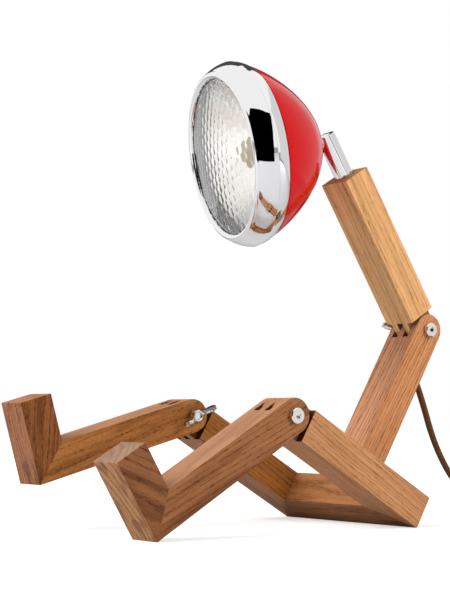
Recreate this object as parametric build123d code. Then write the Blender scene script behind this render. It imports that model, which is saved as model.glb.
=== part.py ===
from build123d import *
from math import acos, asin, atan, cos, degrees, hypot, radians, sin, sqrt, tan
import os

os.makedirs("parts", exist_ok=True)

# A desk lamp in the shape of a seated figure. Millimetres and degrees. +Z is up, the
# lamp looks along -Y and +X is its left side. While it is built, the origin is on the
# ground under the middle of the crossbar that it sits on.

# Timber: every bar has the same section.
bar_width = 30.0  # along the hinge pins
bar_depth = 25.0
edge_ease = 0.6
seat_width = 154.0  # over the outer faces of the thighs
thigh_length = 124.0  # rear of the crossbar to the thigh's shoulder
shin_length = 138.5  # knee pin to sole
foot_length = 60.1
back_height = 139.5  # crossbar to waist pin
chest_length = 139.3  # waist pin to the end of the bar

# Pose at rest
seat_pitch = 30.84  # thighs above the ground
right_shin_drop = 15.39  # below the horizontal; the left heel stands on the ground
chest_lean = 32.12  # ahead of upright
head_turn = 14.46  # about the neck
head_tilt = 20.2  # above square to the neck

# Five-layer hinges
layer_count = 5
side_gap = 0.05  # each side of a tongue
root_gap = 1.2  # round end to the bottom of its slot
pin_diameter = 6.0
pin_gap = 0.08
pin_cap_diameter = 11.0
pin_cap_height = 3.5
pin_cap_bevel = 0.5
pin_socket = 4.0  # across flats
pin_socket_depth = 2.5
seat_gap = 0.05  # a turning or tightened part off the face beside it

# Wing nuts
wing_hub_diameter = 10.0
wing_hub_top_diameter = 8.6
wing_hub_height = 6.6
wing_reach = 15.4
wing_lift = 3.0  # wing root above the wood
wing_rise = 13.0
wing_tip_radius = 4.2
wing_thickness = 3.2
wing_soften = 0.8
pin_end_inset = 1.0  # bolt end inside the hub
# Wings at rest, above the horizontal toward the back
left_wing_angle = 31.0
right_wing_angle = 27.0
waist_wing_angle = -25.0

# Dowels, screws and plugs in the timber
dowel_diameter = 6.0
dowel_length = 24.0
dowel_spread = 6.0  # each side of a mitre's middle
screw_diameter = 4.5
screw_head_diameter = 8.6
screw_head_height = 2.6
hip_screw_length = 62.0
foot_screw_length = 45.0
plug_diameter = 9.5
plug_depth = 4.0
wood_gap = 0.03

# Neck
tube_diameter = 15.0
tube_height = 35.5  # above the bar
tube_depth = 30.0  # inside the bar
tube_bevel = 0.5
tube_fit = 0.06
sleeve_wall = 0.7
sleeve_recess = 1.5
ball_height = 29.6  # above the bar
ball_diameter = 8.8
ball_gap = 0.08
cup_gap = 0.05
cup_floor = 3.1
cup_rim_drop = 2.6  # below the ball's centre
ball_neck_slot = 4.8
ball_slot_drop = 5.0  # below the ball's centre
lead_bore = 3.0
grub_gap = 0.1  # off the ball
grub_crown = 1.3  # above the tube's rim
grub_bevel = 1.0
grub_socket = 3.0
grub_socket_depth = 1.6

# Stud between the ball and the lamp head
stud_neck_diameter = 4.4
stud_flange_diameter = 13.0
stud_flange_start = 10.2
stud_thread_diameter = 6.0
stud_end = 22.6
stud_bore = 2.4
washer_diameter = 12.0
washer_height = 1.0
nut_flats = 10.0
nut_height = 5.0

# Lamp head, sized from its lens and measured forward from the ball's centre
lens_radius = 61.0
bowl_radius = lens_radius + 5.8
bowl_start = 66.25  # where the bezel ends
bowl_depth = 55.3
bowl_power = 1.17
bowl_sheet = 1.0
bowl_turn_in = 1.25  # behind the bezel's tail
bowl_collar_radius = lens_radius + 4.8
bowl_collar_end = 74.0
bowl_seat_radius = 8.0
bezel_sheet = 1.0
bezel_tail_radius = lens_radius + 6.0
bezel_tail_middle = (lens_radius + 8.1, 70.6)  # radius, height
bezel_step = (lens_radius + 8.9, 75.4)
bezel_edge = (lens_radius + 9.3, 75.9)
bezel_swell = 0.9
lip_radius = 2.75
lip_centre = (lens_radius + 0.45, 88.45)
lens_thickness = 3.0
lens_rim_height = 3.2
lens_sagitta = 7.4
lens_gap = 0.1
gasket_width = 3.0
gasket_height = 1.6
clip_count = 4
clip_width = 8.0
clip_sheet = 0.8
clip_tail = 3.0
clip_wall_gap = 0.7
reflector_radius = lens_radius - 3.0
reflector_start = 31.0
reflector_sheet = 0.8
reflector_fit = 0.4
holder_diameter = 21.0
holder_height = 17.5
holder_floor = 5.0
bulb_base_diameter = 12.0
bulb_base_height = 16.0
bulb_gap = 0.1
bulb_diameter = 16.0
bulb_length = 26.0

# Supply cord with its switch and plug
cord_diameter = 5.0
cord_exit_drop = 31.0  # below the waist pin
cord_exit_tilt = 29.2  # below square to the back
gland_diameter = 7.6
gland_length = 9.0
gland_lip = 0.6
cord_gap = 0.1
floor_gap = 0.05
coil_layers = 3
coil_ring_diameter = 51.6
coil_centre = (40.0, 140.0)
coil_lift = 0.6  # room for a tie under the turns
switch_middle = 8.0
switch_row = 207.6  # the switch and the plug lie in one row behind the coil
plug_run = 8.0  # bare cord between the switch and the plug
switch_length = 60.0
switch_width = 24.0
switch_height = 14.0
switch_corner = 3.0
switch_cord_depth = 6.0
switch_cord_slack = 0.3
rocker_length = 15.0
rocker_width = 9.0
rocker_depth = 5.0
rocker_gap = 0.4
rocker_tilt = 7.0
rocker_pivot_drop = 2.2
rocker_end_rise = 1.4
rocker_pin_diameter = 2.4
rocker_pin_length = 1.2
plug_width = 35.5
plug_height = 14.0
plug_length = 26.0
plug_nose_width = 12.0
plug_nose_height = 9.0
plug_pin_diameter = 4.0
plug_pin_length = 19.0
plug_pin_pitch = 18.6
plug_pin_seat = 4.0

# Values that follow from the ones above
half_width = bar_width / 2
half_depth = bar_depth / 2
layer = bar_width / layer_count
knuckle_root = half_depth + root_gap
thigh_reach = thigh_length + knuckle_root
leg_middle = (seat_width - bar_width) / 2
pin_radius = pin_diameter / 2
cord_radius = cord_diameter / 2
sleeve_radius = tube_diameter / 2 + tube_fit + sleeve_wall
hip_place = Pos(0, -half_width, 0)
stud_seat_share = (1 - (bowl_seat_radius / bowl_radius) ** 2) ** (1 / bowl_power)
stud_seat = bowl_start - bowl_depth * stud_seat_share
holder_start = stud_seat + bowl_sheet + washer_height + nut_height + seat_gap
lens_dome_radius = (lens_radius**2 + lens_sagitta**2) / (2 * lens_sagitta)
# The eased lower edges lift the seat a little off its sharp corners' plane.
ground = edge_ease * (sin(radians(seat_pitch)) + cos(radians(seat_pitch)) - 1)


def dome_drop(sphere_radius, radius):
    """How far a dome has fallen away from its crest at a radius from its axis."""
    return sphere_radius - sqrt(sphere_radius**2 - radius**2)


lens_crest = lip_centre[1] - lens_gap + dome_drop(lens_dome_radius, lip_centre[0] - lip_radius)
lens_back = lens_crest - dome_drop(lens_dome_radius, lens_radius) - lens_rim_height
flange_front = lens_back - gasket_height

# Corners of the cord's path: from its hole to the coil, from the coil to the switch
# and from the switch to the plug.
lead_exit = Pos(0, -cord_exit_drop, -half_depth) * Rot(180 - cord_exit_tilt, 0, 0)
lead_points = [
    (0, 63.80, 120.25),
    (0, 69.80, 109.85),
    (0, 75.0, 98.0),
    (0, 80.2, 84.8),
    (0, 85.0, 71.2),
    (0, 91.0, 57.9),
    (0, 99.0, 44.2),
    (0, 108.6, 31.2),
    (2.2, 118.8, 21.4),
    (6.2, 128.6, 15.5),
    (9.4, 137.0, 13.3),
]
switch_end = switch_middle + switch_length / 2
plug_start = switch_middle - switch_length / 2 - plug_run
cord_inset = switch_cord_depth - switch_cord_slack
switch_level = ground + floor_gap + switch_height / 2
plug_level = ground + floor_gap + plug_height / 2
tail_points = [
    (41.5, 170.2, 3.3),
    (55.6, 170.9, 3.0),
    (66.3, 181.6, 2.9),
    (66.3, 196.7, 4.2),
    (55.6, 207.4, 6.3),
    (41.6, switch_row + 0.1, switch_level),
    (switch_end - cord_inset, switch_row, switch_level),
]
end_points = [
    (plug_start + plug_run + cord_inset, switch_row, switch_level),
    (plug_start + plug_run / 2, switch_row + 0.1, (switch_level + plug_level) / 2),
    (plug_start - cord_inset, switch_row, plug_level),
]
switch_frame = Pos(switch_middle, switch_row, switch_level)
plug_frame = Pos(plug_start, switch_row, plug_level)

# Frames: the seat turns about the crossbar's lowest edge, the shins about the knee
# pins, the chest about the waist pin and the head about the ball in the neck.
seat_frame = Location((0, 0, 0), (-seat_pitch, 0, 0))
knee_in_seat = Pos(0, -thigh_reach, half_depth)
knee_point = (seat_frame * knee_in_seat).position
heel_angle = degrees(asin(knee_point.Z / hypot(shin_length, half_depth)))
left_shin_drop = heel_angle - degrees(atan(half_depth / shin_length))
waist_in_seat = Pos(0, -half_width, bar_depth + back_height)
waist_point = (seat_frame * waist_in_seat).position
shin_frames = {
    "left": Location((leg_middle, knee_point.Y, knee_point.Z), (left_shin_drop, 0, 0)),
    "right": Location((-leg_middle, knee_point.Y, knee_point.Z), (right_shin_drop, 0, 0)),
}
chest_frame = Location(tuple(waist_point), (chest_lean, 0, 0))
neck_frame = chest_frame * Pos(0, 0, chest_length)
ball_frame = neck_frame * Pos(0, 0, ball_height)
# In the head's own frame +Z is the way the lamp shines.
head_frame = ball_frame * Rot(0, 0, -head_turn) * Rot(-head_tilt, 0, 0) * Rot(90, 0, 0)


def across(radius, length, middle=0.0):
    """A cylinder along X, the way the hinge pins run."""
    return Pos(middle, 0, 0) * Rot(0, 90, 0) * Cylinder(radius, length)


def rod(radius, bottom, top):
    """A cylinder on Z between two heights."""
    return Pos(0, 0, (bottom + top) / 2) * Cylinder(radius, top - bottom)


def block(x, y, z):
    """A box from three (low, high) pairs."""
    centre = [(low + high) / 2 for low, high in (x, y, z)]
    return Pos(*centre) * Box(x[1] - x[0], y[1] - y[0], z[1] - z[0])


def turned(*edges):
    """A body of revolution about Z from the lines and arcs of half its section."""
    return revolve(Plane.XZ * make_face(list(edges)), Axis.Z)


def turned_corners(*corners):
    """A body of revolution about Z from (radius, height) corners."""
    return turned(Polyline(*corners, close=True))


def hexagon(flats, bottom, top):
    """A six-sided prism on Z between two heights."""
    return Pos(0, 0, bottom) * extrude(RegularPolygon(flats / sqrt(3), 6), top - bottom)


# Hinged bars. A bar starts at its hinge pin, which is the origin, and runs along -Y.
def bar_outline(length):
    return Pos(-length / 2, 0) * Rectangle(length, bar_depth) + Circle(half_depth)


def blank_from(outline):
    return extrude(Plane.YZ.offset(-half_width) * outline, bar_width)


def cut_layers(blank, tongues):
    """Slots in every second layer: a fork keeps three layers and a tongued bar two."""
    first_slot = 0 if tongues else 1
    gap = side_gap if tongues else 0.0
    for index in range(first_slot, layer_count, 2):
        low = -half_width + index * layer
        below = 1.0 if index == 0 else gap
        above = 1.0 if index == layer_count - 1 else gap
        blank -= block(
            (low - below, low + layer + above),
            (-knuckle_root, bar_depth),
            (-bar_depth, bar_depth),
        )
    return blank - across(pin_radius + pin_gap, 2 * bar_width)


def hinged_bar(length, tongues):
    blank = blank_from(bar_outline(length))
    return cut_layers(fillet(blank.edges(), edge_ease), tongues)


# Screws, plugs and dowels. A screw goes in along +Z from the face that it is driven
# through, and a round plug closes the hole.
def screw_hole(length):
    shaft = rod(screw_diameter / 2 + wood_gap, 0, plug_depth + length)
    mouth = rod(plug_diameter / 2 + wood_gap, 0, plug_depth + wood_gap)
    head_radius = screw_head_diameter / 2 + wood_gap
    head = turned_corners(
        (0, plug_depth),
        (head_radius, plug_depth),
        (screw_diameter / 2 + wood_gap, plug_depth + screw_head_height + wood_gap),
        (0, plug_depth + screw_head_height + wood_gap),
    )
    return shaft + mouth + head


def countersunk_screw(length):
    """A pointed screw with a flat head and a cross recess."""
    start = plug_depth + wood_gap
    radius = screw_diameter / 2
    body = turned_corners(
        (0, start),
        (screw_head_diameter / 2, start),
        (radius, start + screw_head_height),
        (radius, start + length - 1.5 * screw_diameter),
        (0.3, start + length - wood_gap),
        (0, start + length - wood_gap),
    )
    blade = 0.55 * screw_head_diameter
    cross = Box(blade, 1.0, 2.4) + Box(1.0, blade, 2.4)
    return body - Pos(0, 0, start) * cross


def round_plug():
    return rod(plug_diameter / 2, 0, plug_depth)


def hinge_pin():
    """A bolt along +Z from the wood's face, with a socket cap below it."""
    cap = chamfer(rod(pin_cap_diameter / 2, -pin_cap_height, 0).edges(), pin_cap_bevel)
    cap -= hexagon(pin_socket, -pin_cap_height, pin_socket_depth - pin_cap_height)
    shank = rod(pin_radius, -pin_cap_bevel, bar_width + wing_hub_height - pin_end_inset)
    return cap + chamfer(shank.edges().group_by(Axis.Z)[-1], pin_cap_bevel)


def wing_nut():
    """A nut whose hub stands on +Z, with two rounded wings that rise outward."""
    bore = pin_radius + wood_gap
    hub_radius = wing_hub_diameter / 2
    hub = turned_corners(
        (bore, 0),
        (hub_radius, 0),
        (hub_radius, wing_lift),
        (wing_hub_top_diameter / 2, wing_hub_height),
        (bore, wing_hub_height),
    )
    root_height = wing_hub_height - wing_lift
    root_middle = Pos(hub_radius - 1.5 * wing_soften, wing_lift + root_height / 2)
    root = root_middle * Rectangle(2 * wing_soften, root_height)
    tip = Pos(wing_reach - wing_tip_radius, wing_rise - wing_tip_radius) * Circle(wing_tip_radius)
    outline = make_hull(root.edges() + tip.edges())
    wing = extrude(Plane.XZ * outline, wing_thickness / 2, both=True)
    wing = fillet(wing.faces().sort_by(Axis.Y)[0].edges(), wing_soften)
    wing = fillet(wing.faces().sort_by(Axis.Y)[-1].edges(), wing_soften)
    return hub + (wing + Rot(0, 0, 180) * wing - rod(bore, -1, wing_rise + 1))


# Where a hinge's pin starts and its wing nut sits, on a bar whose middle is the origin
def pin_place(side):
    return Pos(side * half_width, 0, 0) * Rot(0, -90 * side, 0)


def nut_place(side, wing_angle):
    """The far side of a hinge from its pin's cap, the wings at an angle to level."""
    off_face = -side * (half_width + seat_gap)
    return Pos(off_face, 0, 0) * Rot(wing_angle - 90, 0, 0) * Rot(0, -90 * side, 0)


# Seat: crossbar and thighs, mitred from their outer corners inward
def seat_blank():
    outer = seat_width / 2
    inner = outer - bar_width
    bars = block((-inner, inner), (-bar_width, 0), (0, bar_depth))
    for middle in (leg_middle, -leg_middle):
        edge = (middle - half_width, middle + half_width)
        bars += block(edge, (-thigh_reach, 0), (0, bar_depth))
        bars += knee_in_seat * across(half_depth, bar_width, middle)
    upright = bars.edges().filter_by(Axis.Z)
    inside = upright.filter_by(lambda edge: edge.center().Y < -half_width)
    return fillet(bars.edges() - inside, edge_ease)


def seat_mitre(side):
    """The plane of a mitre, facing the thigh."""
    return Plane(origin=(side * seat_width / 2, 0, 0), z_dir=(side, -1, 0))


def mitre_dowel_places(side):
    """Two places on a mitre, one above the other, with +Z square to it."""
    middle = Plane(
        origin=(side * leg_middle, -half_width, half_depth),
        x_dir=(0, 0, 1),
        z_dir=(side, -1, 0),
    )
    return [Location(middle) * Pos(offset, 0, 0) for offset in (-dowel_spread, dowel_spread)]


def seat_nodes():
    made = {}
    blank = seat_blank()
    places = mitre_dowel_places(1) + mitre_dowel_places(-1)
    hole = rod(dowel_diameter / 2 + wood_gap, -dowel_length / 2 - 0.5, dowel_length / 2 + 0.5)
    holes = [place * hole for place in places]
    crossbar = blank - hip_place * screw_hole(hip_screw_length) - holes
    for side, name in ((1, "left"), (-1, "right")):
        crossbar = split(crossbar, seat_mitre(side), keep=Keep.BOTTOM)
        knee = Pos(side * leg_middle, 0, 0) * knee_in_seat * Rot(0, 0, 180)
        offcuts = split(blank, seat_mitre(side), keep=Keep.TOP).solids().sort_by(Axis.X)
        thigh = offcuts[-1] if side > 0 else offcuts[0]
        thigh = knee * cut_layers(knee.inverse() * thigh, tongues=True)
        made[f"thigh_{name}"] = thigh - holes
    made["crossbar"] = crossbar
    dowel = rod(dowel_diameter / 2, -dowel_length / 2, dowel_length / 2)
    names = [f"mitre_dowel_{side}_{row}" for side in ("left", "right") for row in ("low", "high")]
    made.update({name: place * dowel for name, place in zip(names, places)})
    made["hip_screw"] = hip_place * countersunk_screw(hip_screw_length)
    made["hip_plug"] = hip_place * round_plug()
    return {name: seat_frame * solid for name, solid in made.items()}


# Legs: the foot is mitred to the shin from the heel to the inner corner.
def leg_nodes(name, side, wing_angle):
    instep = -shin_length + bar_depth
    foot_middle = foot_length / 2 - half_depth
    outline = bar_outline(shin_length)
    outline += Pos(instep - half_depth, foot_middle) * Rectangle(bar_depth, foot_length)
    blank = blank_from(outline)
    inner_corner = blank.edges().filter_by(Axis.X).sort_by_distance((0, instep, half_depth))[0]
    blank = fillet(blank.edges() - [inner_corner], edge_ease)
    driven = Pos(0, -shin_length, 0) * Rot(-90, 0, 0)
    hole = driven * screw_hole(foot_screw_length)
    heel_mitre = Plane(origin=(0, -shin_length, -half_depth), z_dir=(0, 1, -1))
    made = {
        "shin": cut_layers(split(blank, heel_mitre, keep=Keep.TOP), tongues=False) - hole,
        "foot": split(blank, heel_mitre, keep=Keep.BOTTOM) - hole,
        "foot_screw": driven * countersunk_screw(foot_screw_length),
        "foot_plug": driven * round_plug(),
        "knee_bolt": pin_place(side) * hinge_pin(),
    }
    frame = shin_frames[name]
    knee = Location(frame.position)
    placed = {f"{piece}_{name}": frame * solid for piece, solid in made.items()}
    placed[f"knee_wing_nut_{name}"] = knee * nut_place(side, wing_angle) * wing_nut()
    return placed


# Back and chest, hinged at the waist
def back_nodes():
    upright = Rot(90, 0, 0)
    foot_hole = Pos(0, -back_height - bar_depth, 0) * Rot(-90, 0, 0) * screw_hole(hip_screw_length)
    back = hinged_bar(back_height, tongues=False) - foot_hole
    back -= lead_exit * rod(gland_diameter / 2 + wood_gap, -gland_length, gland_length)
    back -= lead_exit * rod(cord_radius + cord_gap, -1.6 * half_depth, 0)
    waist = Pos(*waist_point)
    back_frame = seat_frame * waist_in_seat * upright
    return {
        "torso_lower": back_frame * back,
        "cable_gland": back_frame * lead_exit * gland(),
        "waist_bolt": back_frame * pin_place(1) * hinge_pin(),
        "waist_wing_nut": waist * nut_place(1, waist_wing_angle) * wing_nut(),
    }


def gland():
    """A bush with a thin lip, cut to lie flat on the slanted mouth of its hole."""
    bush = rod(gland_diameter / 2, -gland_length, gland_length)
    bush -= rod(cord_radius + cord_gap, -gland_length, gland_length)
    depth = (-half_depth - gland_lip, half_depth)
    inside = block((-half_width, half_width), (-back_height, 0), depth)
    return bush & lead_exit.inverse() * inside


def chest_nodes():
    chest = Rot(-90, 0, 0) * hinged_bar(chest_length, tongues=True)
    socket = rod(sleeve_radius + wood_gap, chest_length - tube_depth - 1, chest_length + 1)
    chest -= socket
    chest -= rod(lead_bore / 2, 0, chest_length)
    floor = chest_length - tube_depth - 1
    sleeve = rod(sleeve_radius, floor, chest_length - sleeve_recess)
    sleeve -= rod(tube_diameter / 2 + tube_fit, floor + 1 - tube_fit, chest_length)
    sleeve -= rod(lead_bore / 2, floor - 1, floor + 2)
    return {"torso_upper": chest_frame * chest, "neck_sleeve": chest_frame * sleeve}


# Neck: a tube with a ball held between a cup and a grub screw. The origin is the
# ball's centre, +Z runs along the tube and the slot for the stud faces -Y.
def neck_nodes():
    rim = tube_height - ball_height
    bottom = -tube_depth - ball_height
    ball_radius = ball_diameter / 2
    bore_radius = ball_radius + ball_gap
    seat_bottom = -ball_radius - cup_floor
    outer = rod(tube_diameter / 2, bottom, rim)
    tube = chamfer(outer.edges().group_by(Axis.Z)[-1], tube_bevel)
    tube -= rod(bore_radius, seat_bottom, rim + 1)
    tube -= rod(lead_bore / 2, bottom - 1, rim)
    half_slot = ball_neck_slot / 2
    tube -= block((-half_slot, half_slot), (-tube_diameter, 0), (-ball_slot_drop, rim + 1))
    cup = rod(ball_radius, seat_bottom, -cup_rim_drop) - Sphere(ball_radius + cup_gap)
    cup -= rod(lead_bore / 2, seat_bottom - 1, 0)
    start = ball_radius + grub_gap
    crown_start = start + grub_bevel + 0.3
    crown = rim + grub_crown
    grub = turned(
        Polyline(
            (0, crown),
            (0, start),
            (ball_radius - grub_bevel, start),
            (ball_radius, start + grub_bevel),
            (ball_radius, crown_start),
        ),
        ThreePointArc((ball_radius, crown_start), (ball_radius * 0.6, crown - 0.36), (0, crown)),
    )
    grub -= hexagon(grub_socket, crown - grub_socket_depth, crown + 1)
    turned_frame = ball_frame * Rot(0, 0, -head_turn)
    made = {"neck_tube": tube, "ball_seat": cup, "neck_screw": grub}
    return {name: turned_frame * solid for name, solid in made.items()}


# Lamp head. Heights run forward from the ball's centre.
def bowl_section(angle, inward):
    """A point of the bowl's section; the angle is 0 at the pole and 90 at the rim."""
    turn = radians(angle)
    power = 2 / bowl_power
    radius = bowl_radius * sin(turn)
    height = bowl_start - bowl_depth * cos(turn) ** power
    slope = Vector(bowl_radius * cos(turn), bowl_depth * power * cos(turn) ** (power - 1) * sin(turn))
    normal = Vector(-slope.Y, slope.X).normalized()
    return (radius + normal.X * inward, height + normal.Y * inward)


def bowl():
    steps = 12
    first = degrees(asin(bowl_seat_radius / bowl_radius))
    last = degrees(acos((bowl_turn_in / bowl_depth) ** (bowl_power / 2)))
    angles = [first + (last - first) * step / steps for step in range(steps + 1)]
    outside = [bowl_section(angle, 0) for angle in angles]
    inside = [bowl_section(angle, bowl_sheet) for angle in reversed(angles)]
    hole = stud_thread_diameter / 2 + wood_gap
    bend = bowl_start + 0.4
    inner_collar = bowl_collar_radius - bowl_sheet
    return turned(
        Line((hole, stud_seat), outside[0]),
        Spline(*outside),
        Polyline(
            outside[-1],
            (bowl_collar_radius, bend),
            (bowl_collar_radius, bowl_collar_end),
            (inner_collar, bowl_collar_end),
            (inner_collar, bend),
            inside[0],
        ),
        Spline(*inside),
        Polyline(inside[-1], (hole, stud_seat + bowl_sheet), (hole, stud_seat)),
    )


def sheet_section(path, thickness, side):
    """The section of a sheet of even thickness along a path."""
    return make_face(offset(path, thickness, side=side, kind=Kind.INTERSECTION))


def bezel():
    x, z = lip_centre
    crease_angle = radians(15)
    inner_end = (x - lip_radius, z)
    crease = (x + lip_radius * cos(crease_angle), z + lip_radius * sin(crease_angle))
    band_middle = Vector((crease[0] + bezel_edge[0]) / 2, (crease[1] + bezel_edge[1]) / 2)
    along = Vector(bezel_edge[0] - crease[0], bezel_edge[1] - crease[1]).normalized()
    swollen = band_middle + Vector(-along.Y, along.X) * bezel_swell
    outside = Wire(
        [
            ThreePointArc(inner_end, (x, z + lip_radius), crease),
            ThreePointArc(crease, (swollen.X, swollen.Y), bezel_edge),
            Line(bezel_edge, bezel_step),
            ThreePointArc(bezel_step, bezel_tail_middle, (bezel_tail_radius, bowl_start)),
        ]
    )
    return revolve(Plane.XZ * sheet_section(outside, bezel_sheet, Side.RIGHT), Axis.Z)


def lens():
    """A domed glass with a plain rim; its dome clears the lip at the opening."""
    shoulder = lens_radius - lens_thickness
    half = lens_radius / 2

    def outside(radius):
        return (radius, lens_crest - dome_drop(lens_dome_radius, radius))

    def inside(radius):
        drop = dome_drop(lens_dome_radius - lens_thickness, radius)
        return (radius, lens_crest - lens_thickness - drop)

    return turned(
        ThreePointArc(outside(0), outside(half), outside(lens_radius)),
        Polyline(
            outside(lens_radius),
            (lens_radius, lens_back),
            (shoulder, lens_back),
            inside(shoulder),
        ),
        ThreePointArc(inside(shoulder), inside(half), inside(0)),
        Line(inside(0), outside(0)),
    )


def gasket():
    """An angle-section ring behind and around the lens, pressed up into the lip."""
    inner = lens_radius - gasket_width
    outer = lens_radius + gasket_width / 2
    wall = lens_radius + lens_gap
    top = lip_centre[1] + sqrt((lip_radius - bezel_sheet) ** 2 - (outer - lip_centre[0]) ** 2)
    return turned_corners(
        (inner, flange_front),
        (outer, flange_front),
        (outer, top - lens_gap),
        (wall, top - lens_gap),
        (wall, lens_back),
        (inner, lens_back),
    )


def reflector():
    """A parabolic dish with its focus inside the bulb, and a flat flange."""
    neck = holder_diameter / 2 + reflector_fit
    rise = flange_front - reflector_start
    rate = rise / (reflector_radius**2 - neck**2)
    tip = reflector_start - rate * neck**2
    middle = (neck + reflector_radius) / 2
    sheet = reflector_sheet

    def dish(radius, back):
        slope = 2 * rate * radius
        length = sqrt(1 + slope**2)
        return (radius + back * slope / length, tip + rate * radius**2 - back / length)

    radii = [neck, middle * 0.6, middle, middle * 1.35, reflector_radius]
    front = [dish(radius, 0) for radius in radii]
    rear = [dish(radius, sheet) for radius in reversed(radii)]
    rim = lens_radius + gasket_width / 2
    return turned(
        Spline(*front),
        Polyline(
            front[-1],
            (rim, flange_front),
            (rim, flange_front - sheet),
            (rear[0][0] + 0.3, flange_front - sheet),
            rear[0],
        ),
        Spline(*rear),
        Polyline(rear[-1], (neck, reflector_start - 2 * sheet), (neck, reflector_start)),
    )


def lens_clip():
    """A bent strip that bears on the reflector's flange and on the bezel's wall."""
    wall = (bezel_edge[0] - bezel_sheet - clip_wall_gap, bezel_edge[1] + clip_wall_gap)
    seat = flange_front - reflector_sheet
    heel = lens_radius + gasket_width / 2
    tail = (wall[0] - clip_sheet, wall[1] - clip_tail)
    path = Polyline((reflector_radius + 2, seat), (heel, seat), wall, tail)
    section = sheet_section(path, clip_sheet, Side.RIGHT)
    return extrude(Plane.XZ * section, clip_width / 2, both=True)


def lamp_holder():
    """A socket screwed on to the end of the stud, hollow toward the front."""
    top = holder_start + holder_height
    body = rod(holder_diameter / 2, holder_start, top)
    body = chamfer(body.edges().group_by(Axis.Z)[0], 1.0)
    body -= rod(bulb_base_diameter / 2 + bulb_gap, holder_start + holder_floor, top + 1)
    return body - rod(stud_thread_diameter / 2 + wood_gap, holder_start - 1, top)


def bulb():
    """A capsule bulb: a pressed base under a round-ended clear body."""
    start = holder_start + holder_floor
    base = rod(bulb_base_diameter / 2, start, start + bulb_base_height)
    radius = bulb_diameter / 2
    end = start + bulb_base_height + bulb_length
    capsule = rod(radius, start + bulb_base_height, end - radius)
    return base + capsule + Pos(0, 0, end - radius) * Sphere(radius)


def stud():
    ball = Sphere(ball_diameter / 2)
    shaft = rod(stud_neck_diameter / 2, 0, stud_flange_start + 0.5)
    flange = chamfer(rod(stud_flange_diameter / 2, stud_flange_start, stud_seat).edges(), 0.3)
    thread = rod(stud_thread_diameter / 2, stud_seat - 0.5, stud_end)
    thread = chamfer(thread.edges().group_by(Axis.Z)[-1], 0.5)
    return ball + shaft + flange + thread - rod(stud_bore / 2, 0, stud_end + 1)


def ring(outer, bottom, top):
    return rod(outer, bottom, top) - rod(stud_thread_diameter / 2 + wood_gap, bottom - 1, top + 1)


def head_nodes():
    washer_start = stud_seat + bowl_sheet
    nut_start = washer_start + washer_height
    rounded = turned_corners(
        (0, 0),
        (nut_flats / 2, 0),
        (nut_flats, nut_flats / 4),
        (nut_flats, nut_height),
        (0, nut_height),
    )
    nut = hexagon(nut_flats, nut_start, nut_start + nut_height) & Pos(0, 0, nut_start) * rounded
    made = {
        "head_stud": stud(),
        "stud_washer": ring(washer_diameter / 2, washer_start, nut_start),
        "stud_nut": nut - rod(stud_thread_diameter / 2 + wood_gap, nut_start - 1, holder_start + 1),
        "bowl": bowl(),
        "bezel": bezel(),
        "lens": lens(),
        "lens_gasket": gasket(),
        "reflector": reflector(),
        "lamp_holder": lamp_holder(),
        "bulb": bulb(),
    }
    for index in range(clip_count):
        spin = 360 / clip_count * (index + 0.5)
        made[f"lens_clip_{index + 1}"] = Rot(0, 0, spin) * lens_clip()
    return {name: head_frame * solid for name, solid in made.items()}


# Supply cord. The points are the corners of a path whose runs are joined by arcs.
def cord_path(points):
    corners = [Vector(*point) for point in points]
    runs = [(after - before).length for before, after in zip(corners, corners[1:])]
    radii = []
    for index in range(1, len(corners) - 1):
        before = corners[index] - corners[index - 1]
        after = corners[index + 1] - corners[index]
        half_turn = radians(before.get_angle(after)) / 2
        radii.append(0.45 * min(runs[index - 1], runs[index]) / tan(half_turn))
    print("cord bend radii, mm:", [round(radius, 1) for radius in radii])
    return FilletPolyline(*corners, radius=radii)


def cord_tube(points):
    path = cord_path(points)
    start = Plane(origin=path @ 0, z_dir=path % 0)
    return sweep(start * Circle(cord_radius), path=path)


def coil():
    """The turns as one closed ring, as many cords wide as it is high."""
    side = coil_layers * cord_diameter
    level = ground + coil_lift + side / 2
    section = Pos(coil_ring_diameter / 2, level) * RectangleRounded(side, side, cord_radius)
    return Pos(*coil_centre) * revolve(Plane.XZ * section, Axis.Z)


def cord_nodes():
    lead, tail, end = (cord_tube(points) for points in (lead_points, tail_points, end_points))
    return {"cord": lead, "cord_tail": tail, "cord_end": end, "cord_coil": coil() - lead - tail}


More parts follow.
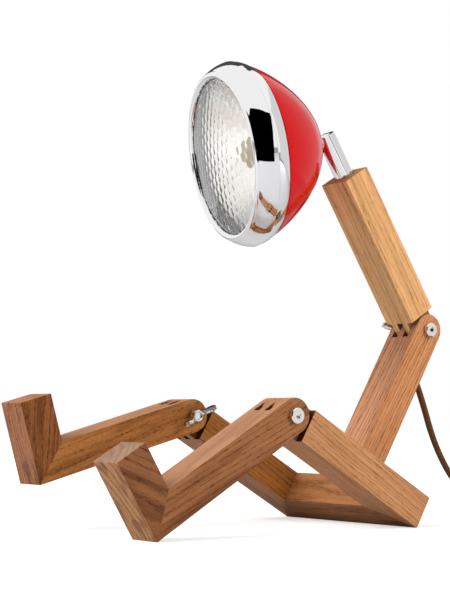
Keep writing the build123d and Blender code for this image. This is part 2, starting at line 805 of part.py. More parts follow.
def switch_nodes():
    """A cord switch: the rocker turns on two short pins in the body."""
    body = Box(switch_length, switch_width, switch_height)
    body = fillet(body.edges().filter_by(Axis.Z), switch_corner * 2)
    body = fillet(body.edges(), switch_corner)
    pocket_length = rocker_length + 2 * rocker_gap
    pocket_width = rocker_width + 2 * rocker_gap
    pivot = Pos(0, 0, switch_height / 2 - rocker_pivot_drop)
    body -= block(
        (-pocket_length / 2, pocket_length / 2),
        (-pocket_width / 2, pocket_width / 2),
        (switch_height / 2 - rocker_depth - 1.5, switch_height),
    )
    pin_length = rocker_width + 2 * rocker_pin_length
    body -= pivot * Rot(90, 0, 0) * Cylinder(rocker_pin_diameter / 2 + pin_gap, pin_length + 0.4)
    mouth = Rot(0, 90, 0) * Cylinder(cord_radius + cord_gap, switch_cord_depth * 2)
    for end in (-1, 1):
        body -= Pos(end * switch_length / 2, 0, 0) * mouth
    half = rocker_length / 2
    top = rocker_pivot_drop + 0.4
    outline = make_face(
        Polyline(
            (-half, top + rocker_end_rise),
            (0, top),
            (half, top + rocker_end_rise),
            (half - 0.6, -rocker_pivot_drop),
            (0, -rocker_depth + rocker_pivot_drop),
            (0.6 - half, -rocker_pivot_drop),
            close=True,
        )
    )
    rocker = extrude(Plane.XZ * outline, rocker_width / 2, both=True)
    rocker += Rot(90, 0, 0) * Cylinder(rocker_pin_diameter / 2, pin_length)
    rocker = pivot * Rot(0, -rocker_tilt, 0) * rocker
    return {"switch_body": switch_frame * body, "switch_rocker": switch_frame * rocker}


def plug_nodes():
    """A flat two-pin plug on -X, narrow where the cord goes in."""
    back = Plane(origin=(0, 0, 0), z_dir=(-1, 0, 0), x_dir=(0, 1, 0))
    front = back.offset(plug_length)
    waist = back.offset(plug_length * 0.55)
    body = loft(
        [
            back * RectangleRounded(plug_nose_width, plug_nose_height, plug_nose_height / 2 - 0.5),
            waist * RectangleRounded(plug_width, plug_height, plug_height / 2 - 0.5),
            front * RectangleRounded(plug_width, plug_height, plug_height / 2 - 0.5),
        ],
        ruled=True,
    )
    body -= Rot(0, 90, 0) * Cylinder(cord_radius + cord_gap, 2 * switch_cord_depth)
    made = {}
    for name, side in (("left", 1), ("right", -1)):
        along = Pos(-plug_length + plug_pin_seat, side * plug_pin_pitch / 2, 0) * Rot(0, -90, 0)
        body -= along * rod(plug_pin_diameter / 2 + wood_gap, 0, plug_pin_length)
        pin = rod(plug_pin_diameter / 2, 0, plug_pin_length + plug_pin_seat)
        made[f"plug_pin_{name}"] = along * fillet(pin.edges().group_by(Axis.Z)[-1], 1.2)
    made["plug_body"] = body
    return {name: plug_frame * solid for name, solid in made.items()}


def all_nodes():
    made = seat_nodes()
    made.update(leg_nodes("left", 1, left_wing_angle))
    made.update(leg_nodes("right", -1, right_wing_angle))
    others = (back_nodes, chest_nodes, neck_nodes, head_nodes, cord_nodes, switch_nodes, plug_nodes)
    for group in others:
        made.update(group())
    return made


cord_names = (
    "cord",
    "cord_coil",
    "cord_tail",
    "cord_end",
    "switch_body",
    "switch_rocker",
    "plug_body",
    "plug_pin_left",
    "plug_pin_right",
)

if __name__ == "__main__":
    nodes = all_nodes()
    lamp = [solid.bounding_box() for name, solid in nodes.items() if name not in cord_names]
    low = Vector(*(min(getattr(box.min, axis) for box in lamp) for axis in "XYZ"))
    high = Vector(*(max(getattr(box.max, axis) for box in lamp) for axis in "XYZ"))
    # The finished part's origin is on the ground under the middle of the lamp.
    origin = Vector((low.X + high.X) / 2, (low.Y + high.Y) / 2, low.Z)
    print("origin moved by", tuple(round(value, 3) for value in origin), "size", high - low)
    for name, solid in nodes.items():
        export_step(Pos(*-origin) * solid, f"parts/{name}.step")
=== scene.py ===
import math
import bmesh
import bpy
from mathutils import Euler, Matrix, Vector


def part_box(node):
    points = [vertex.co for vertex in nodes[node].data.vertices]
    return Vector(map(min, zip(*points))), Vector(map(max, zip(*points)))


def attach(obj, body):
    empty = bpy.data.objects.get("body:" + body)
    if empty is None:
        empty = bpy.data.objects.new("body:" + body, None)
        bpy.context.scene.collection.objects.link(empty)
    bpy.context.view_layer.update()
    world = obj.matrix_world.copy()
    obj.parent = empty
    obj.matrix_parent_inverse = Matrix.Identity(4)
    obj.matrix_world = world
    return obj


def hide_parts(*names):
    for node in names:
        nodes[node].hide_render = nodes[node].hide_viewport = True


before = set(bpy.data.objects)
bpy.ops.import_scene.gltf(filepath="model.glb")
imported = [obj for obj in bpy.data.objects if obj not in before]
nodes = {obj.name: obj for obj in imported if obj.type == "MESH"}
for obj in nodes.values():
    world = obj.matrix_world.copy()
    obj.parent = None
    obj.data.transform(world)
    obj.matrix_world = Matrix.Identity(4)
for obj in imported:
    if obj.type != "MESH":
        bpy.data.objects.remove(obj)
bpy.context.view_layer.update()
scene = bpy.context.scene
scene.view_settings.view_transform = "Standard"
print("frame loaded,", len(nodes), "solids")


# colours and shader nodes
def colour(red, green, blue):
    # screen values 0 to 255, to the linear values that Blender takes
    linear = [((v / 255 + 0.055) / 1.055) ** 2.4 if v > 10 else v / 3294.6 for v in (red, green, blue)]
    return (*linear, 1.0)


def put(tree, kind, inputs=None, **options):
    node = tree.nodes.new("ShaderNode" + kind)
    for name, value in options.items():
        setattr(node, name, value)
    for socket, value in (inputs or {}).items():
        if isinstance(value, bpy.types.NodeSocket):
            tree.links.new(value, node.inputs[socket])
        else:
            node.inputs[socket].default_value = value
    return node


def reckon(tree, operation, *values):
    return put(tree, "Math", dict(enumerate(values)), operation=operation).outputs[0]


def vector(tree, operation, *values):
    return put(tree, "VectorMath", dict(enumerate(values)), operation=operation).outputs["Vector"]


def measure(tree, operation, *values):
    return put(tree, "VectorMath", dict(enumerate(values)), operation=operation).outputs["Value"]


def split(tree, value):
    return put(tree, "SeparateXYZ", {0: value}).outputs


def stretched(tree, value, along):
    return put(tree, "Mapping", {"Vector": value, "Scale": (1, 1, along)}).outputs[0]


def mix(tree, factor, first, second, blend="MIX"):
    node = put(tree, "MixRGB", {"Fac": factor, "Color1": first, "Color2": second}, blend_type=blend)
    return node.outputs["Color"]


def spread(tree, value, low, high, newLow=0, newHigh=1):
    inputs = {0: value, 1: low, 2: high, 3: newLow, 4: newHigh}
    return put(tree, "MapRange", inputs, interpolation_type="SMOOTHSTEP").outputs[0]


grainRange = (0.3, 0.7)  # where most values of a noise pattern lie


def grains(tree, place, scale, detail=2.0, rough=0.5):
    inputs = {"Vector": place, "Scale": scale, "Detail": detail, "Roughness": rough}
    return put(tree, "TexNoise", inputs).outputs["Fac"]


def feed(tree, shader, socket, value):
    tree.links.new(value, shader.inputs[socket])


def relief(tree, shader, height, strength, depth):
    bump = put(tree, "Bump", {"Height": height, "Strength": strength, "Distance": depth})
    feed(tree, shader, "Normal", bump.outputs["Normal"])


def finish(name, look):
    # base, rough and metal are the shader's, and sockets are more of its inputs; tints are two colours
    # and the scale and detail of what mixes them, edge narrows that mixing, gloss is the range of the
    # roughness and bump a strength and a depth in metres, each with the scale and detail of its pattern
    material = bpy.data.materials.new(name)
    material.use_nodes = True
    tree = material.node_tree
    shader = tree.nodes["Principled BSDF"]
    shader.inputs["Base Color"].default_value = look["base"]
    shader.inputs["Roughness"].default_value = look["rough"]
    shader.inputs["Metallic"].default_value = look.get("metal", 0.0)
    for socket, value in look.get("sockets", {}).items():
        shader.inputs[socket].default_value = value
    place = put(tree, "TexCoord").outputs["Object"]
    if "tints" in look:
        first, second, scale, detail = look["tints"]
        share = grains(tree, place, scale, detail)
        if "edge" in look:
            share = spread(tree, share, *look["edge"])
        feed(tree, shader, "Base Color", mix(tree, share, first, second))
    if "gloss" in look:
        low, high, scale, detail = look["gloss"]
        cloud = grains(tree, place, scale, detail)
        feed(tree, shader, "Roughness", spread(tree, cloud, *grainRange, low, high))
    if "bump" in look:
        strength, depth, scale, detail = look["bump"]
        relief(tree, shader, grains(tree, place, scale, detail), strength, depth)
    return material, tree, shader, place


def dress(material, *names):
    for name in names:
        for slot in nodes[name].material_slots:
            slot.material = material


# meshes
def roundAngles(sides):
    return [2 * math.pi * n / sides for n in range(sides)]


def eased(share):
    return share * share * (3 - 2 * share)


def meshFrom(made, name, outward=True, place=None):
    if outward:
        bmesh.ops.recalc_face_normals(made, faces=made.faces)
    if place:
        made.transform(place)
    mesh = bpy.data.meshes.new(name)
    made.to_mesh(mesh)
    made.free()
    return mesh


def meshPiece(name, mesh, material, body):
    piece = bpy.data.objects.new(name, mesh)
    scene.collection.objects.link(piece)
    mesh.materials.append(material)
    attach(piece, body)
    return piece


# camera, floor and light
view = {
    "place": (0.9222, -0.6864, 0.0818),
    "turn": 54.49,  # degrees from +Y toward -X
    "up": 4.23,
    "lens": 93.07,
    "sensor": 36,
    "nearest": 0.01,
}
camera = bpy.data.objects.new("camera", bpy.data.cameras.new("camera"))
scene.collection.objects.link(camera)
camera.location = view["place"]
camera.rotation_euler = Euler((math.radians(90 + view["up"]), 0, math.radians(view["turn"])))
camera.data.lens = view["lens"]
camera.data.sensor_width = view["sensor"]
camera.data.clip_start = view["nearest"]
scene.camera = camera

studio = {
    "world": 0.35,  # what lights the object; the camera, chrome and glass see 1
    "white": (1, 1, 1, 1),
    "black": (0, 0, 0, 1),
    "floor": colour(205, 205, 206),
    "floorRough": 0.9,
    "floorHalf": 4,  # half its side, in metres
    "floorGlow": (0.55, 0.9),  # seen by the camera and through glass, beside the lamp and far off
    "floorReach": (0.3, 1.6),
    "floorMirrored": 0.07,  # seen in the chrome and enamel
    "headMiddle": (-0.015, -0.010, 0.2785),  # what the cards face
}
# soft boxes: power in watts, middle, what they point at, width and height
lamps = {
    "key": {"power": 14, "place": (1.15, 0.55, 0.65), "aim": (0.0, 0.03, 0.16), "size": (0.9, 1.1)},
    "front": {"power": 29, "place": (-0.3, -1.2, 1.15), "aim": (0.0, 0.0, 0.15), "size": (1.3, 1.0)},
}
# cards that only the chrome, enamel and glass mirror, or that only show through glass, each facing the
# lamp head: distance and bearing, extent to both sides, foot, height of both upper corners, and how
# brightly it glows
cards = {
    "flag": {
        "away": 0.70, "bearing": (0.731, -0.682), "sides": (-0.365, 0.31),
        "foot": 0.0, "tops": (0.81, 0.82), "tone": 0.0,
    },
    "backDrape": {
        "away": 1.5, "bearing": (-0.814, 0.581), "sides": (-0.49, 0.55),
        "foot": 0.6, "tops": (2.9, 2.9), "tone": 0.07,
    },
    "lowDrape": {
        "away": 1.5, "bearing": (-0.814, 0.581), "sides": (-1.05, -0.40),
        "foot": -0.1, "tops": (0.28, 0.28), "tone": 0.05,
    },
    "sideCard": {
        "away": 1.7, "bearing": (0.411, 0.912), "sides": (-1.5, 1.5),
        "foot": -0.2, "tops": (2.4, 2.4), "tone": 0.74,
    },
    "lensGlow": {
        "away": 1.1, "bearing": (-0.234, -0.953), "sides": (-2.6, 2.6),
        "foot": 0.02, "tops": (3.2, 3.2), "tone": 1.27, "throughGlass": True,
    },
}


def seenBy(tree, *rays):
    path = put(tree, "LightPath").outputs
    seen = path[f"Is {rays[0]} Ray"]
    for ray in rays[1:]:
        seen = reckon(tree, "MAXIMUM", seen, path[f"Is {ray} Ray"])
    return seen


def stagePiece(name, corners, material):
    mesh = bpy.data.meshes.new(name)
    mesh.from_pydata(corners, [], [(0, 1, 2, 3)])
    mesh.materials.append(material)
    piece = bpy.data.objects.new(name, mesh)
    scene.collection.objects.link(piece)
    return piece


world = bpy.data.worlds.new("studio")
world.use_nodes = True
scene.world = world
tree = world.node_tree
background = tree.nodes["Background"]
background.inputs["Color"].default_value = studio["white"]
seen = seenBy(tree, "Camera", "Glossy", "Transmission")
glow = put(tree, "MapRange", {0: seen, 3: studio["world"], 4: 1.0}).outputs[0]
feed(tree, background, "Strength", glow)

floorLook = {
    "base": studio["floor"],
    "rough": studio["floorRough"],
    "sockets": {"Emission Color": studio["white"]},
}
floorPaper, tree, shader, place = finish("floorPaper", floorLook)
glow = spread(tree, measure(tree, "LENGTH", place), *studio["floorReach"], *studio["floorGlow"])
lit = reckon(tree, "MULTIPLY", seenBy(tree, "Camera", "Transmission"), glow)
mirrored = reckon(tree, "MULTIPLY", seenBy(tree, "Glossy"), studio["floorMirrored"])
feed(tree, shader, "Emission Strength", reckon(tree, "ADD", lit, mirrored))
half = studio["floorHalf"]
stagePiece("floor", [(-half, -half, 0), (half, -half, 0), (half, half, 0), (-half, half, 0)], floorPaper)

for name, card in cards.items():
    away = Vector((*card["bearing"], 0)).normalized()
    across = Vector((-away.y, away.x, 0))
    middle = Vector(studio["headMiddle"]) + away * card["away"]
    left, right = (middle + across * side for side in card["sides"])
    heights = (card["foot"], card["foot"], card["tops"][1], card["tops"][0])
    corners = [(spot.x, spot.y, z) for spot, z in zip((left, right, right, left), heights)]
    glowing = {
        "Specular IOR Level": 0.0,
        "Emission Color": studio["white"],
        "Emission Strength": card["tone"],
    }
    paper = finish(name, {"base": studio["black"], "rough": 1.0, "sockets": glowing})[0]
    piece = stagePiece(name, corners, paper)
    through = card.get("throughGlass", False)
    piece.visible_camera = piece.visible_diffuse = piece.visible_shadow = False
    piece.visible_transmission = through
    piece.visible_glossy = not through

for name, box in lamps.items():
    lamp = bpy.data.objects.new(name, bpy.data.lights.new(name, "AREA"))
    scene.collection.objects.link(lamp)
    lamp.location = box["place"]
    lamp.rotation_euler = (Vector(box["aim"]) - Vector(box["place"])).to_track_quat("-Z", "Y").to_euler()
    lamp.data.shape = "RECTANGLE"
    lamp.data.size, lamp.data.size_y = box["size"]
    lamp.data.energy = box["power"]
    lamp.visible_glossy = lamp.visible_transmission = False
print("camera and studio made")

# supply cord
cord = {
    "radius": 0.0025,
    "sides": 14,
    "curveOrder": 3,
    "curveSteps": 5,  # from one point of the route to the next
    "exit": (0.00283, 0.15231, 0.11568),
    "lead": [
        (0.0028, 0.1498, 0.1200),
        (0.0028, 0.1558, 0.1096),
        (0.0028, 0.1610, 0.0978),
        (0.0028, 0.1662, 0.0846),
        (0.0028, 0.1710, 0.0710),
        (0.0028, 0.1770, 0.0577),
        (0.0028, 0.1850, 0.0440),
        (0.0028, 0.1946, 0.0312),
        (0.0050, 0.2048, 0.0212),
        (0.0090, 0.2146, 0.0153),
        (0.0122, 0.2230, 0.0131),
    ],
    "tail": [
        (0.0568, 0.2618, 0.0028),
        (0.0685, 0.2695, 0.0027),
        (0.0691, 0.2827, 0.0040),
        (0.0584, 0.2934, 0.0061),
        (0.0444, 0.2937, 0.00705),
        (0.0351, 0.2936, 0.00705),
        (0.0108, 0.2936, 0.00705),  # inside the switch
        (-0.0135, 0.2936, 0.00705),
        (-0.0232, 0.2937, 0.00705),
        (-0.0329, 0.2936, 0.00705),
    ],
    "coilMiddle": (0.04283, 0.22602),
    "turns": 9.25,
    "pointsPerTurn": 15,
    "stagger": 8.0,  # degrees by which each change of place comes sooner
    "change": 24.0,  # degrees that a change of place takes
    # radius and height of each turn, from the first to the last
    "places": [
        (0.0308, 0.0131), (0.0308, 0.0081), (0.0258, 0.0081), (0.0258, 0.0131), (0.0208, 0.0131),
        (0.0208, 0.0081), (0.0208, 0.0031), (0.0258, 0.0031), (0.0308, 0.0031), (0.0358, 0.00275),
    ],
}


def coilPoint(turned):
    # where the line is after so many degrees round the coil, clockwise from its -X side
    span = 360 - cord["stagger"]
    index = int(max(0.0, min(len(cord["places"]) - 1.0, turned / span)))
    share = eased(min(1.0, (turned - index * span) / cord["change"]))
    before = cord["places"][max(0, index - 1)]
    after = cord["places"][index]
    radius = before[0] + (after[0] - before[0]) * share
    height = before[1] + (after[1] - before[1]) * share
    radius /= math.cos(math.pi / cord["pointsPerTurn"])
    angle = math.radians(180 - turned)
    x, y = cord["coilMiddle"]
    return (x + radius * math.cos(angle), y + radius * math.sin(angle), height)


pointCount = int(cord["turns"] * cord["pointsPerTurn"])
turns = [coilPoint(360 / cord["pointsPerTurn"] * count) for count in range(1, pointCount + 1)]
controls = cord["lead"] + turns + cord["tail"]
route = bpy.data.curves.new("cordRoute", "CURVE")
route.dimensions = "3D"
line = route.splines.new("NURBS")
line.points.add(len(controls) - 1)
for point, place in zip(line.points, controls):
    point.co = (*place, 1.0)
line.order_u = cord["curveOrder"]
line.use_endpoint_u = True
line.resolution_u = cord["curveSteps"]
routeObject = bpy.data.objects.new("cordRoute", route)
path = [v.co.copy() for v in bpy.data.meshes.new_from_object(routeObject).vertices]
bpy.data.objects.remove(routeObject)


def tube(name, path, radius, sides):
    # a round tube along a line, with a map in metres: round it, then along it
    made = bmesh.new()
    layer = made.loops.layers.uv.new("along")
    out = (path[1] - path[0]).normalized().orthogonal().normalized()
    rings = []
    gone = [0.0]
    for index, point in enumerate(path):
        ahead = (path[min(index + 1, len(path) - 1)] - path[max(index - 1, 0)]).normalized()
        out = (out - ahead * out.dot(ahead)).normalized()
        side = ahead.cross(out)
        spokes = [out * math.cos(a) + side * math.sin(a) for a in roundAngles(sides)]
        rings.append([made.verts.new(point + spoke * radius) for spoke in spokes])
        if index:
            gone.append(gone[-1] + (point - path[index - 1]).length)
    around = 2 * math.pi * radius / sides
    for index, (ring, after) in enumerate(zip(rings, rings[1:])):
        for n in range(sides):
            m = (n + 1) % sides
            face = made.faces.new((ring[n], ring[m], after[m], after[n]))
            face.smooth = True
            mapped = ((n, index), (n + 1, index), (n + 1, index + 1), (n, index + 1))
            for loop, (u, v) in zip(face.loops, mapped):
                loop[layer].uv = (u * around, gone[v])
    made.faces.new(list(reversed(rings[0])))
    made.faces.new(rings[-1])
    return meshFrom(made, name, outward=False)


# braided textile: two families of slanting yarns
braid = {
    "dark": colour(66, 38, 8),
    "light": colour(114, 72, 22),
    "pitch": 0.0024,
    "yarns": 9,
    "contrast": (-0.6, 0.6),
    "rough": 0.85,
    "sheen": {"Sheen Weight": 0.1, "Sheen Roughness": 0.4},
    "relief": (0.5, 0.0002),
}
cordLook = {"base": braid["light"], "rough": braid["rough"], "sockets": braid["sheen"]}
cordTextile, tree, shader, place = finish("cordTextile", cordLook)
mapped = split(tree, put(tree, "UVMap", uv_map="along").outputs[0])
across = reckon(tree, "MULTIPLY", mapped[0], braid["yarns"] / cord["radius"])
down = reckon(tree, "MULTIPLY", mapped[1], 2 * math.pi / braid["pitch"])
yarns = [reckon(tree, "SINE", reckon(tree, sign, across, down)) for sign in ("ADD", "SUBTRACT")]
weave = spread(tree, reckon(tree, "MULTIPLY", *yarns), *braid["contrast"], 0.0, 1.0)
feed(tree, shader, "Base Color", mix(tree, weave, braid["dark"], braid["light"]))
relief(tree, shader, weave, *braid["relief"])

cordMesh = tube("supply_cord", path, cord["radius"], cord["sides"])
cordPiece = meshPiece("supply_cord", cordMesh, cordTextile, "seat")
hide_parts("cord", "cord_coil", "cord_tail", "cord_end")
print("cord made, controls", len(controls))

# hook-and-loop tie round the coil's turns, its free end lapped over the top
tie = {
    "angle": -60,  # where round the coil, clear of the turn that runs outside
    "inner": 0.01825,  # radii and heights that it goes round
    "outer": 0.03335,
    "low": 0.00055,
    "high": 0.01565,
    "corner": 0.0024,
    "cornerSteps": 8,
    "width": 0.008,
    "cuts": 8,  # across its width
    "thick": 0.00045,
    "lap": (0.0225, 0.0305),  # radii between which two layers lie on the top
    "step": 0.0002,  # how steeply the upper layer ends
}
tieLook = {
    "base": colour(44, 38, 34),
    "rough": 0.9,
    "tints": (colour(30, 26, 24), colour(66, 58, 52), 2600, 2),
    "bump": (0.5, 0.0001, 3200, 2),
}


def tieOutline(grow, rise):
    # corners of a rounded rectangle in radius and height, with the lap on its upper side
    corner = tie["corner"]
    steps = tie["cornerSteps"]
    inner, outer = tie["inner"] + corner, tie["outer"] - corner
    low, high = tie["low"] + corner, tie["high"] - corner
    outline = []
    for x, z, start in ((outer, high, 0), (inner, high, 90), (inner, low, 180), (outer, low, 270)):
        for n in range(steps + 1):
            a = math.radians(start + n * 90 / steps)
            outline.append((x + (corner + grow) * math.cos(a), z + (corner + grow) * math.sin(a)))
        if start == 0:
            near, far = tie["lap"]
            top = tie["high"] + grow
            outline += [(far, top), (far - tie["step"], top + rise)]
            outline += [(near, top + rise), (near - tie["step"], top)]
    return outline


def tieMesh():
    made = bmesh.new()
    x, y = cord["coilMiddle"]
    angle = math.radians(tie["angle"])
    skins = (tieOutline(0.0, 0.0), tieOutline(tie["thick"], tie["thick"]))
    rows = []
    for n in range(tie["cuts"] + 1):
        aside = tie["width"] * (n / tie["cuts"] - 0.5)
        row = []
        for outline in skins:
            turned = [(angle + aside / radius, radius, height) for radius, height in outline]
            row.append([made.verts.new((x + r * math.cos(a), y + r * math.sin(a), z)) for a, r, z in turned])
        rows.append(row)
    count = len(skins[0])
    for n in range(count):
        m = (n + 1) % count
        for first, second in zip(rows, rows[1:]):
            made.faces.new((first[0][n], first[0][m], second[0][m], second[0][n])).smooth = True
            made.faces.new((first[1][n], second[1][n], second[1][m], first[1][m])).smooth = True
        for row in (rows[0], rows[-1]):
            made.faces.new((row[0][n], row[1][n], row[1][m], row[0][m]))
    return meshFrom(made, "cord_tie")


tieWoven = finish("tieWoven", tieLook)[0]
tiePiece = meshPiece("cord_tie", tieMesh(), tieWoven, "seat")
print("tie made")

# ash timber, one finish for each bar, its grain along the bar
ash = {
    "light": (1.20, 1.20, 1.22, 1),  # pale growth, against the bar's own colour
    "dark": (0.51, 0.40, 0.29, 1),  # dense growth
    "pore": (0.36, 0.28, 0.21, 1),
    "streak": (0.55, 0.47, 0.39, 1),
    "hollow": (0.22, 0.13, 0.08, 1),  # painted shade in the hinges' hollows, where little light gets in
    "paleShare": 0.8,
    "fibreShare": 0.25,
    "poreShare": 0.8,
    "lean": (1.6, -1.12),  # degrees between the log's middle and the bar
    # scale, detail and roughness of the patterns; the scale of years and streaks is each bar's own
    "waves": (30, 3),
    "fibres": (800, 3, 0.7),
    "vessels": (1500, 2, 0.6),
    "years": (2, 0.6),
    "streaks": (3, 0.55),
    "fibreStretch": 0.05,
    "driftStretch": 0.18,
    "yearScale": 0.55,  # against the width of a ring
    "yearDrift": 0.03,  # how fast the rings' pattern changes along the log
    "yearShift": 1.6,  # how unevenly the rings are spaced, in half rings
    # where each pattern starts to show, and where it shows in full
    "yearEdge": (0.2, 0.8),
    "ringEdge": (0.55, 0.95),
    "poreEdge": (0.50, 0.62),
    "streakEdge": (0.47, 0.62),
    "paleEdge": (0.35, 0.6),
    "ringFloor": 0.55,  # what a ring keeps between its pores
    "poreFloor": 0.5,  # what a pore keeps between the rings
    "endFigure": 0.5,  # how strongly the end grain shows rings and pores
    "hollowReach": (0.030, 0.034),  # from the hinge's pin
    "hollowFacing": (0.35, 0.7),  # how squarely a surface faces the pin
    "fingerShade": 0.8,  # how strongly the fingers' inner sides take the painted shade
    "fingerInset": (0.0010, 0.0006),  # from the bar's sides, where it ends
    "sideways": (0.4, 0.6),  # where a surface counts as one across the hinge pins
    "endwise": (0.75, 0.9),  # where it counts as end grain
    "rough": 0.5,
    "specular": 0.12,
    "gloss": (0.42, 0.58),
    "relief": (0.3, 0.0002),
}
# side is the colour across the hinge pins, darker on the lower bars and on the far thigh as painted
# shade as well as wood tone, face the colour of the other long faces, paler than side on most bars
# as painted light and sheen from above and the front as well as wood tone, and end that of the end
# grain, darker on most bars partly as painted shade in the hinge slots, heart is where the log's
# middle is beside the bar and shift where along the log the bar is cut, ring is the width of a year's
# growth and wave how far it wanders, slant is how many degrees the grain runs off the bar, rings,
# pores and streaks are how strongly these show, faceFigure is the share of that on the other long
# faces, and pin is the bolt of the bar's hinge
usualBar = {"slant": 0, "wave": 0.002, "poreStretch": 0.11, "faceFigure": 1.0, "streakScale": 75}
bars = {
    "crossbar": {
        "grain": (1, 0, 0),
        "side": (150, 98, 58), "face": (169, 115, 71), "end": (130, 84, 52),
        "heart": (0.03, -0.02), "shift": 0.11, "ring": 0.0036,
        "rings": 0.75, "pores": 0.5, "streaks": 0.7, "wave": 0.004,
    },
    "thigh_left": {
        "pin": "knee_bolt_left", "grain": (0, 0.8586, -0.51264),
        "side": (198, 142, 95), "face": (196, 140, 95), "end": (170, 117, 76),
        "heart": (0.045, -0.075), "shift": 0.37, "ring": 0.0021, "slant": 1.5,
        "rings": 0.8, "pores": 0.5, "streaks": 0.2, "wave": 0.0018,
    },
    "thigh_right": {
        "pin": "knee_bolt_right", "grain": (0, 0.8586, -0.51264),
        "side": (155, 98, 44), "face": (180, 126, 80), "end": (150, 96, 54),
        "heart": (0.05, 0.07), "shift": 0.71, "ring": 0.0026,
        "rings": 1.0, "pores": 0.6, "streaks": 0.2,
    },
    "shin_left": {
        "pin": "knee_bolt_left", "grain": (0, 0.86046, 0.50951),
        "side": (157, 103, 64), "face": (176, 127, 94), "end": (130, 84, 54),
        "heart": (-0.012, 0.04), "shift": 0.23, "ring": 0.0042, "slant": 2,
        "rings": 0.9, "pores": 0.7, "streaks": 0.9, "wave": 0.003, "poreStretch": 0.14,
        "faceFigure": 0.35, "streakScale": 48,
    },
    "foot_left": {
        "grain": (0, -0.50951, 0.86046),
        "side": (140, 90, 55), "face": (186, 136, 94), "end": (154, 120, 96),
        "heart": (0.035, 0.03), "shift": 0.53, "ring": 0.0050, "slant": -40,
        "rings": 1.0, "pores": 0.7, "streaks": 0.8, "wave": 0.0035, "poreStretch": 0.16,
    },
    "shin_right": {
        "pin": "knee_bolt_right", "grain": (0, 0.96414, 0.26539),
        "side": (174, 113, 58), "face": (176, 124, 84), "end": (120, 76, 44),
        "heart": (0.05, -0.07), "shift": 0.97, "ring": 0.0050, "slant": -4,
        "rings": 0.6, "pores": 1.0, "streaks": 0.7, "wave": 0.003, "poreStretch": 0.24,
        "faceFigure": 0.5,
    },
    "foot_right": {
        "grain": (0, -0.26539, 0.96414),
        "side": (143, 88, 47), "face": (162, 108, 74), "end": (166, 108, 68),
        "heart": (-0.03, 0.02), "shift": 1.31, "ring": 0.0036, "slant": 16,
        "rings": 1.0, "pores": 0.9, "streaks": 1.0, "wave": 0.006, "poreStretch": 0.2,
    },
    "torso_lower": {
        "pin": "waist_bolt", "grain": (0, 0.51264, 0.8586),
        "side": (202, 139, 91), "face": (194, 140, 104), "end": (150, 96, 60),
        "heart": (0.04, 0.08), "shift": 1.73, "ring": 0.0021,
        "rings": 1.0, "pores": 0.6, "streaks": 0.2, "wave": 0.0015, "poreStretch": 0.1,
    },
    "torso_upper": {
        "pin": "waist_bolt", "grain": (0, -0.53169, 0.84694),
        "side": (222, 168, 113), "face": (237, 188, 131), "end": (205, 152, 104),
        "heart": (0.062, -0.068), "shift": 2.11, "ring": 0.0040,
        "rings": 0.65, "pores": 0.5, "streaks": 0.15, "wave": 0.003, "poreStretch": 0.1,
    },
}
usualPlug = {
    "grain": (1, 0, 0), "heart": (0.02, 0.01), "ring": 0.0020,
    "rings": 0.15, "pores": 0.6, "streaks": 0.0, "wave": 0.001, "poreStretch": 0.8,
}
plugs = {
    "hip_plug": {"tone": (168, 112, 72), "shift": 0.4},
    "foot_plug_left": {"tone": (146, 101, 70), "shift": 0.5},
    "foot_plug_right": {"tone": (116, 79, 63), "shift": 0.6},
}
dowels = ["mitre_dowel_left_low", "mitre_dowel_left_high", "mitre_dowel_right_low", "mitre_dowel_right_high"]
for name, plug in plugs.items():
    bars[name] = {**usualPlug, **plug, "side": plug["tone"], "face": plug["tone"], "end": plug["tone"]}


def paintedHingeShade(tree, place, normal, name, pin):
    # painted shade: 1 on the surfaces near a hinge that face its pin, less between the fingers, and 0
    # elsewhere
    left, right = (corner[0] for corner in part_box(name))
    low, high = (Vector(corner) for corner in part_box(pin))
    arm = vector(tree, "MULTIPLY", vector(tree, "SUBTRACT", place, (low + high) / 2), (0, 1, 1))
    near = spread(tree, measure(tree, "LENGTH", arm), *ash["hollowReach"], 1, 0)
    facing = measure(tree, "DOT_PRODUCT", vector(tree, "NORMALIZE", arm), normal)
    facing = spread(tree, reckon(tree, "MULTIPLY", facing, -1.0), *ash["hollowFacing"])
    aside = reckon(tree, "SUBTRACT", split(tree, place)[0], (left + right) / 2)
    edge = [(right - left) / 2 - inset for inset in ash["fingerInset"]]
    inner = spread(tree, reckon(tree, "ABSOLUTE", aside), *edge, ash["fingerShade"], 0)
    sideways = reckon(tree, "ABSOLUTE", split(tree, normal)[0])
    inner = reckon(tree, "MULTIPLY", inner, spread(tree, sideways, *ash["sideways"]))
    return reckon(tree, "MULTIPLY", reckon(tree, "MAXIMUM", facing, inner), near)


